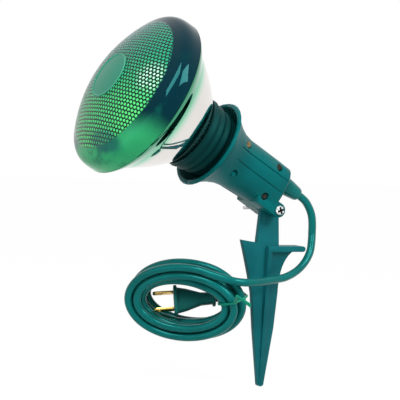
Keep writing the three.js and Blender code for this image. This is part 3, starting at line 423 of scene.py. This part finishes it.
# The smooth glass: its shoulder painted nearly black as a painted reflection of the dark, painted light
# where lit, darker streaks, and a lighter ring at the disc's rim.
plain = green_glass.layered(
    colour(30, 122, 96),
    (green_glass.ramp(from_axis, 17, 20), colour(2, 30, 42)),
    (painted_lit_shoulder, colour(44, 150, 94)),
    (shoulder_streaks * lower * 0.7, colour(10, 78, 66)),
    (painted_dark_oval * 0.75, oval_blue),
    (disc_rim, colour(58, 156, 124)),
)
green_glass.shows(Base_Color=green_glass.blend(beaded, plain, beads),
                  Roughness=beaded * 0.06 + 0.05,
                  Normal=green_glass.bump(dome * beaded, 0.8))
print("lens finish made")

# %% [markdown]
# The reflector is clear glass, silvered inside. Behind the seam some of the lens's green shows in
# it, fading through mint to silver over about 20 mm. A mirror with a tint that goes by the distance
# from the seam gives that from every side.

# %% Silvering
silvering = Finish("silvering", metallic=1.0, gloss=0.5, sheen=plain_sheen)
behind_seam = silvering.measured(-lamp_axis, on_housing(0, 0, 133.2))
clouding = silvering.noise(35, detail=3)
tint = silvering.ramp(behind_seam + (clouding - 0.5) * 3, 5, 15)
mint, silver = colour(132, 214, 176), colour(228, 224, 220)
silver_tone = silvering.blend(silvering.ramp(behind_seam, 9, 20), mint, silver)
silvering.shows(Base_Color=silvering.blend(tint, colour(40, 146, 104), silver_tone),
                Roughness=clouding * 0.05 + 0.02,
                Normal=silvering.bump(silvering.noise(90, detail=2), 0.05))
print("silvering made")

# %% [markdown]
# The cord's jacket is a soft glossy vinyl, smoother than the moulded pieces. It has faint flow marks
# and a shine broken by small handling marks, so its roughness varies more than its colour.

# %% Jacket
jacket = Finish("cord_jacket", gloss=0.35)
marks = jacket.noise(220, detail=4, roughness=0.65)
flow = jacket.ramp(jacket.noise(40, detail=2), 0.35, 0.65)
jacket.shows(Base_Color=jacket.blend(flow, colour(5, 80, 78), colour(6, 92, 90)),
             Roughness=marks * 0.16 + 0.12,
             Normal=jacket.bump(marks, 0.03))
print("jacket made")

# %% [markdown]
# Every node of the CAD model gets its finish, also those that nobody sees until the housing is
# opened. The table gives the record's material slot, the finish and the nodes. A piece that later
# takes a node's place takes its finish from here too.

# %% Every node's finish
materials = {
    **plastics, **metals, "screw_head": screw_head.material, "green_glass": green_glass.material,
    "silvering": silvering.material, "cord_jacket": jacket.material,
}
finish_of = {}
for slot, finish_name, nodes in [
    ("housing_plastic", "housing_plastic", "housing_near housing_far"),
    ("stake_plastic", "stake_plastic", "stake"),
    ("cord_jacket", "cord_jacket", "cord_lead cord_coil cord_tail strain_relief"),
    ("plug_vinyl", "plug_vinyl", "plug_body"),
    ("tie_plastic", "tie_plastic", "cord_tie"),
    ("gasket_rubber", "boot_rubber", "gasket"),
    ("green_glass", "green_glass", "lamp_lens"),
    ("silvered_glass", "silvering", "lamp_reflector"),
    ("aluminium", "spun_aluminium", "lamp_skirt"),
    ("brass", "bright_brass", "plug_blade_hot plug_blade_neutral"),
    # The rear screws are painted dark, as painted shade in their recesses.
    ("brass", "dark_screw", "rear_upper_screw rear_lower_screw"),
    ("brass", "aged_brass", "front_upper_screw"),
    ("brass", "housing_plastic", "front_lower_screw"),
    ("brass", "dull_brass", "socket_shell centre_contact contact_rivet shell_rivet"),
    ("brass", "dull_brass", "lamp_base_shell lamp_tip_contact"),
    ("zinc_steel", "screw_head", "tilt_screw"),
    ("zinc_steel", "zinc_plate", "tilt_washer wing_nut"),
    ("zinc_steel", "zinc_plate", "lamp_post_left lamp_post_right lamp_filament"),
    ("phenolic", "black_moulding", "socket_body"),
    ("black_lead", "black_insulation", "hot_lead"),
    ("white_lead", "white_insulation", "neutral_lead"),
    ("black_glass", "black_glass", "lamp_insulator"),
    ("white_ceramic", "white_ceramic", "lamp_stem"),
]:
    for node in nodes.split():
        frame["nodes"][node].material_slots[0].material = materials[finish_name]
        finish_of[node] = slot, materials[finish_name]
bodies = frame["record"]["behaviour"]["bodies"]
body_of = {node: body for body, nodes in bodies.items() for node in nodes}
print("nodes with a finish:", len(finish_of), "of", len(frame["nodes"]))

# %% [markdown]
# The lamp's glass and the cord's sleeve are round, so they are turned from an outline, as on a
# lathe. Most operators act on whatever is selected, and the CAD nodes come in selected. So one
# helper makes a single object the selected and active one. The others clean a mesh, smooth it, turn
# an outline about the lamp's axis, and let a finished piece take a node's place.

# %% Selecting, joining and smoothing
def only(piece):
    bpy.ops.object.select_all(action="DESELECT")
    piece.select_set(True)
    bpy.context.view_layer.objects.active = piece


def in_edit(piece, *steps):
    """Runs each step on the whole mesh in edit mode."""
    only(piece)
    bpy.ops.object.mode_set(mode="EDIT")
    for step in steps:
        bpy.ops.mesh.select_all(action="SELECT")
        step()
    bpy.ops.object.mode_set(mode="OBJECT")


def joined():
    bpy.ops.mesh.remove_doubles(threshold=0.01 * mm)


def outwards():
    bpy.ops.mesh.normals_make_consistent(inside=False)


def smoothed(piece, degrees=32):
    only(piece)
    bpy.ops.object.shade_smooth_by_angle(angle=radians(degrees))


# %% Turned shapes
def turned(name, outline, centre, steps):
    """A closed outline of (radius, along) points in millimetres, turned about the lamp's axis."""
    points = [centre + mm * (radius * lamp_up + along * lamp_axis) for radius, along in outline]
    bpy.ops.object.select_all(action="DESELECT")
    bpy.ops.mesh.primitive_plane_add(size=mm, location=points[0])
    piece = bpy.context.object
    piece.name = name
    bpy.ops.object.transform_apply(location=True)
    bpy.ops.object.mode_set(mode="EDIT")
    bpy.ops.mesh.select_all(action="SELECT")
    bpy.ops.mesh.merge(type="CENTER")
    for before, after in zip(points, points[1:] + points[:1]):
        bpy.ops.mesh.extrude_vertices_move(TRANSFORM_OT_translate={"value": after - before})
    bpy.ops.mesh.select_all(action="SELECT")
    bpy.ops.mesh.spin(steps=steps, angle=2 * pi, center=centre, axis=lamp_axis)
    bpy.ops.object.mode_set(mode="OBJECT")
    in_edit(piece, joined, outwards)
    return piece


# %% Taking a node's place
def stands_for(piece, node):
    """The piece's place goes into its mesh, and it takes over a node's body and finish."""
    slot, material = finish_of[node]
    piece.data.materials.clear()
    piece.data.materials.append(material)
    only(piece)
    bpy.ops.object.transform_apply(location=True, rotation=True, scale=True)
    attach(piece, body_of[node])
    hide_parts(node)
    triangles = sum(len(face.vertices) - 2 for face in piece.data.polygons)
    print(piece.name, "has", triangles, "triangles")


# %% [markdown]
# The lens could start as half a sphere, but its dome is flatter and its shoulder tighter. So it is
# turned as one outline: a plain disc with a fine rim in the middle, the domed front down to the
# seam, and the inner wall one glass thickness behind. The reflector is a paraboloid, so that a
# filament at its focus throws light straight ahead, with a bulge where it meets the lens.

# %% Lens
seam_along, glass, lens_radius, lamp_steps = 133.33, 2.6, 62.2, 128
shoulder_power, shoulder_along, shoulder_rise, shoulder_inner = 4.57, 131.5, 20.7, 56
shoulder_steps, dome_steps = 40, 16


def shoulder_point(turn):
    power = 2 / shoulder_power
    return lens_radius * cos(turn) ** power, shoulder_along + shoulder_rise * sin(turn) ** power


shoulder = [shoulder_point(i / shoulder_steps * pi / 2) for i in range(shoulder_steps)]
shoulder = [point for point in shoulder if point[0] > shoulder_inner and point[1] > seam_along + 0.5]
dome_handles = (56, 148.3), (42.3, 156.6), (29.3, 161.6), (17.6, 163.3)
dome_curve = interpolate_bezier(*[Vector(place) for place in dome_handles], dome_steps)
dome_line = [(place[0], place[1]) for place in dome_curve]
outer = [(lens_radius, seam_along), *shoulder, *dome_line]
disc = [(17.4, 163.8), (16.9, 163.8), (16.5, 163.4), (10, 164), (0, 164.3)]
inner_top = (0, 164)
inner = [(max(radius - glass, 0), along - glass) for radius, along in [inner_top, *outer[::-1]]]
inner[-1] = (lens_radius - glass, seam_along)
lens = turned("lens", outer + disc + inner, housing_rear, steps=lamp_steps)
smoothed(lens, 50)
stands_for(lens, "lamp_lens")

# %% Reflector
vertex_along, focus, rim_along = 76.21, 14.71, 133.03
neck_radius, neck_length, bulge_length, bulge_height = 17.4, 5.2, 12, 4.3
outer_steps, inner_steps, inner_shortfall = 56, 12, 9


def mirror_radius(along):
    bulge = max(0, 1 - (rim_along - along) / bulge_length)
    return sqrt(4 * focus * (along - vertex_along)) + bulge_height * bulge * bulge * (3 - 2 * bulge)


neck = vertex_along + neck_radius ** 2 / (4 * focus)
reach, inner_reach = rim_along - neck, rim_along - neck - inner_shortfall
outer_places = [rim_along - reach * i / outer_steps for i in range(outer_steps + 1)]
mirror_line = [(mirror_radius(along), along) for along in outer_places]
mirror_line[0] = (lens_radius, rim_along)
neck_rings = [(radius, neck - neck_length) for radius in (neck_radius, neck_radius - glass)]
inner_places = [neck + inner_reach * i / inner_steps for i in range(inner_steps + 1)]
inside = [(mirror_radius(along) - glass, along + 1) for along in inner_places]
inner_rim = [(lens_radius - glass, rim_along)]
mirror_outline = mirror_line + neck_rings + inside + inner_rim
reflector = turned("reflector", mirror_outline, housing_rear, steps=lamp_steps)
smoothed(reflector, 50)
stands_for(reflector, "lamp_reflector")

# %% [markdown]
# The strain relief is a tapered sleeve, moulded on the cord, that keeps it from breaking where it
# leaves the lampholder. A cone would have hard ends. A turned outline gives the soft shoulder and
# the rounded end.

# %% Strain relief
sleeve_rise, sleeve_length = 7.1, 20.7
sleeve_line = [
    (0, 4.3), (8, 4.3), (8, 2.5), (6, 2.5), (6, -0.3), (7.3, -0.3), (7.5, -0.6), (7.45, -1.2),
    (6.5, -10.35), (5.3, -18.2), (5.0, -19.4), (4.6, -20.1), (4, -20.6),
    (3.2, -sleeve_length), (0, -sleeve_length),
]
sleeve = turned("cord_sleeve", sleeve_line, on_housing(sleeve_rise, 0, 0), steps=48)
smoothed(sleeve, 40)
stands_for(sleeve, "strain_relief")

# %% [markdown]
# The shells, the spike, the boot, the plug, its blades, the tie, the nut and the washer keep their
# CAD shapes. Each gets its corners merged and its flat faces cleaned. Those with hard edges get them
# rounded by a fraction of a millimetre, because no moulded or stamped piece has a knife edge, and a
# round edge is what catches the light.

# %% Cleaning and rounding a node's shape
def flattened():
    """Takes out the edges that cross a flat face."""
    bpy.ops.mesh.dissolve_limited(angle_limit=radians(0.5))


def remade(node, name, edge):
    """A copy of a node's shape with merged corners and rounded edges, in millimetres."""
    piece = bpy.data.objects.new(name, frame["nodes"][node].data.copy())
    bpy.context.collection.objects.link(piece)
    only(piece)
    bpy.ops.mesh.customdata_custom_splitnormals_clear()
    in_edit(piece, joined, flattened)
    if edge:
        rounding = piece.modifiers.new("rounding", "BEVEL")
        rounding.width, rounding.segments = edge * mm, 2
        rounding.limit_method, rounding.angle_limit = "ANGLE", radians(38)
        only(piece)
        bpy.ops.object.modifier_apply(modifier=rounding.name)
    smoothed(piece)
    stands_for(piece, node)


# %% Moulded pieces
for node, name, edge in [
    ("housing_near", "near_shell", 0.35), ("housing_far", "far_shell", 0.35), ("stake", "spike", 0.5),
    ("gasket", "boot", 0), ("plug_body", "plug_grip", 0.5), ("cord_tie", "twist_tie", 0),
    ("plug_blade_hot", "narrow_blade", 0.25), ("plug_blade_neutral", "wide_blade", 0.25),
    ("wing_nut", "winged_nut", 0.25), ("tilt_washer", "plain_washer", 0.2),
]:
    remade(node, name, edge)

# %% [markdown]
# The cord is a vinyl mains lead, 6 mm thick. It leaves the strain relief, hangs in a loop behind
# the foot step, comes forward in front of the spike and goes into a coil of seven and two-thirds
# turns, and ends in the plug inside the coil. A stack of rings would look alike from afar, but a
# real coil has its whole length in its turns. So the centre line is worked out turn by turn, in and
# out, one layer behind another.

# %% The coil's own directions
view_right = Vector((cos(azimuth), sin(azimuth), 0))
view_near = Vector((sin(azimuth), -cos(azimuth), 0))


def seen_at(right, up, near):
    """A place in millimetres right, up and nearer than the tilt joint, as the photograph sees it."""
    return pivot + mm * (right * view_right + near * view_near + up * upright)


facing, lean = azimuth - radians(12), radians(15)
coil_right = Vector((cos(facing), sin(facing), 0))
coil_front = cos(lean) * Vector((sin(facing), -cos(facing), 0)) - sin(lean) * upright
coil_up = coil_front.cross(coil_right)
coil_centre = seen_at(-57.4, -70.2, 16)


def in_coil(x, y, z):
    """A place in millimetres right, up and in front of the coil's middle."""
    return coil_centre + mm * (x * coil_right + y * coil_up + z * coil_front)


print("coil's middle:", [round(value, 4) for value in coil_centre])

# %% The coil's turns
cord_radius, seat_gap = 3.0, 0.3
half_width, half_height = 44.4, 29.8
coil_layers, turns_a_layer, turn_pitch, layer_pitch = 4, 2, 6.7, 6.5
coil_start, coil_end_cut, points_a_turn, step_reach = radians(58), 118 / 360, 24, 0.25
coil_turns = coil_layers * turns_a_layer - coil_end_cut


def on_coil(turn):
    """Two turns inwards, two outwards, and a step back to the next layer round each change."""
    layer = min(floor(turn / turns_a_layer), coil_layers - 1)
    within = turn - layer * turns_a_layer
    inward = within if layer % 2 == 0 else turns_a_layer - within
    nearest = floor(turn / turns_a_layer + 0.5)
    depth_step = layer
    past = turn - nearest * turns_a_layer
    if 0 < nearest < coil_layers and abs(past) < step_reach:
        depth_step = nearest - 0.5 + past / (2 * step_reach)
    angle = coil_start + turn * 2 * pi
    drawn_in = inward * turn_pitch
    return in_coil((half_width - drawn_in) * cos(angle), (half_height - drawn_in) * sin(angle),
                   ((coil_layers - 1) / 2 - depth_step) * layer_pitch)


turn_points = round(coil_turns * points_a_turn)
coil_line = [on_coil(i / turn_points * coil_turns) for i in range(turn_points + 1)]
end_run = (coil_line[-1] - coil_line[-2]).normalized()
print("turns:", round(coil_turns, 2))

# %% The whole centre line
lead_route = [
    (27.4, 6.1, -17.8), (30.6, 1.2, -19.9), (32.8, -4.4, -20.9), (33.7, -10.5, -21),
    (33.9, -17.7, -20.3), (33.9, -23.5, -18.5), (33.1, -31.5, -15.5), (30.2, -38.3, -11.5),
    (25.8, -43.9, -6.5), (20.7, -47.7, -1), (15, -50.3, 4.5), (10, -51.3, 9),
]
entry_route = [
    (59.6, 14.2, -17.1), (55.3, 15.5, -9.6), (50.4, 17.2, -2.1), (45, 19, 3.8), (38.1, 21.2, 8.2),
]
tail_route = [
    (31, -18.8, -13.2), (33.2, -13.9, -15.8), (32.8, -8.5, -16.4), (29.7, -4.1, -16.1),
    (26.2, -2.2, -15),
]
exit_straight, plug_straight = 2, 4.2
cord_exit = on_housing(sleeve_rise, 0, -sleeve_length - seat_gap)
plug_rear, plug_front = in_coil(19, -1.6, -12.4), in_coil(-25.5, -2.6, 3)
plug_along = (plug_front - plug_rear).normalized()
cord_line = [cord_exit, cord_exit - exit_straight * mm * lamp_axis]
cord_line += [seen_at(*place) for place in lead_route]
cord_line += [in_coil(*place) for place in entry_route]
cord_line += [*coil_line, coil_line[-1] + 2 * cord_radius * mm * end_run]
cord_line += [in_coil(*place) for place in tail_route]
cord_line += [plug_rear - gap * mm * plug_along for gap in (plug_straight, seat_gap)]
print("points on the cord:", len(cord_line))

# %% [markdown]
# The cord is one tube along its whole centre line, from the strain relief to the plug. The line's
# points are joined by smooth curves first, and a curve with a round bevel makes the tube, because
# it keeps its thickness in every bend. Near the strain relief the cord leaves along the lampholder's
# axis, and lower down it runs past the spike.

# %% Cord
def smooth_line(points, parts):
    """Smooth curves from point to point, each in so many parts."""
    padded = [2 * points[0] - points[1], *points, 2 * points[-1] - points[-2]]
    runs = [(after - before).normalized() for before, after in zip(padded, padded[2:])]
    line = []
    for start, end, leaves, arrives in zip(points, points[1:], runs, runs[1:]):
        third = (end - start).length / 3
        handles = start + third * leaves, end - third * arrives
        line += interpolate_bezier(start, *handles, end, parts + 1)[:-1]
    return line + [points[-1]]


cord_path = smooth_line(cord_line, 4)
route = bpy.data.curves.new("cord", "CURVE")
route.dimensions = "3D"
route.bevel_depth, route.bevel_resolution, route.use_fill_caps = cord_radius * mm, 4, True
run = route.splines.new("POLY")
run.points.add(len(cord_path) - 1)
for point, place in zip(run.points, cord_path):
    point.co = (*place, 1)
cord = bpy.data.objects.new("cord", route)
bpy.context.collection.objects.link(cord)
only(cord)
bpy.ops.object.convert(target="MESH")
cord = bpy.context.object
smoothed(cord, 50)
cord.data.materials.clear()
cord.data.materials.append(jacket.material)
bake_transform(cord)
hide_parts("cord_lead", "cord_coil", "cord_tail")
cord_length = sum((after - before).length for before, after in zip(cord_path, cord_path[1:]))
print("cord length:", round(cord_length, 3), "m")
[tuple(place) for place in cord_path]

# %% [markdown]
# The object stands before white, as in a catalogue. A soft lamp at the right gives the long
# highlights, a broad strip above the lens gives the patch on its shoulder, and a weak lamp at the
# left opens the shade. The camera, gloss and glass see pure white all round, while the object
# itself is lit by a dimmer sky, so nothing washes out.

# %% Lamps
def soft_lamp(name, aim, away, distance, width, height, power, top=upright):
    """A rectangle that shines at a place from a direction, with its height along top."""
    behind = away.normalized()
    across = top.cross(behind).normalized()
    bpy.ops.object.light_add(type="AREA")
    lamp = bpy.context.object
    lamp.name = name
    lamp.data.shape, lamp.data.size, lamp.data.size_y = "RECTANGLE", width, height
    lamp.data.energy = power
    posed(lamp, across, behind.cross(across), behind, aim + distance * behind)
    print(name, "gives", power, "W from", distance, "m")


def as_seen(right, up, near):
    """A direction by the picture's right, its top and the way to the camera."""
    return right * right_edge + up * top_edge + near * to_camera


key_direction = 0.55 * camera_right + 0.45 * back + 0.45 * upright
soft_lamp("key_lamp", pivot, key_direction, distance=0.84, width=0.35, height=0.35, power=5.5)
soft_lamp("strip_lamp", on_housing(0, -59, 145), as_seen(-0.1, 0.71, 0.69),
          distance=0.7, width=0.32, height=0.46, power=6, top=as_seen(0.59, 0.32, -0.32))
soft_lamp("left_lamp", pivot, as_seen(-0.7, 0, 0.5), distance=0.86, width=0.6, height=0.6, power=1.2)

# %% White surroundings
sky = bpy.data.worlds.new("white_room")
bpy.context.scene.world = sky
sky.use_nodes = True
sky_nodes = Nodes(sky.node_tree)
backing = sky.node_tree.nodes["Background"]
backing.inputs["Color"].default_value = (1, 1, 1, 1)
lit_level, seen_level = 0.22, 1.0
strength = sky_nodes.add("ShaderNodeMapRange", {}, Value=sky_nodes.seen_directly(),
                         **{"To Min": lit_level, "To Max": seen_level})
sky_nodes.put(backing.inputs["Strength"], strength)
print("the sky lights at", lit_level, "and shows at", seen_level)

# %% Floor
bpy.ops.object.select_all(action="DESELECT")
bpy.ops.mesh.primitive_plane_add(size=6, location=(0, 0, -mm))
floor_plane = bpy.context.object
floor_plane.name = "floor"
bpy.ops.object.transform_apply(location=True)
floor_finish = Finish("floor_white", roughness=0.9, sheen=plain_sheen)
floor_whites = colour(236, 236, 236), colour(240, 240, 240)
floor_finish.shows(Base_Color=floor_finish.blend(floor_finish.noise(3, detail=2), *floor_whites))
glow_share, glow_strength = 0.96, 1.02
lit = Amount(floor_finish, floor_finish.surface.outputs[0])
glowing = floor_finish.add("ShaderNodeEmission", {}, Strength=glow_strength)
share = floor_finish.seen_directly() * glow_share
shown = floor_finish.add("ShaderNodeMixShader", {}, share, lit, glowing)
floor_finish.put(floor_finish.tree.nodes["Material Output"].inputs["Surface"], shown)
floor_plane.data.materials.append(floor_finish.material)
print("floor", round(floor_plane.dimensions.x, 1), "m wide")

# %% [markdown]
# The last cell only imports json once more.

# %% Last import
import json
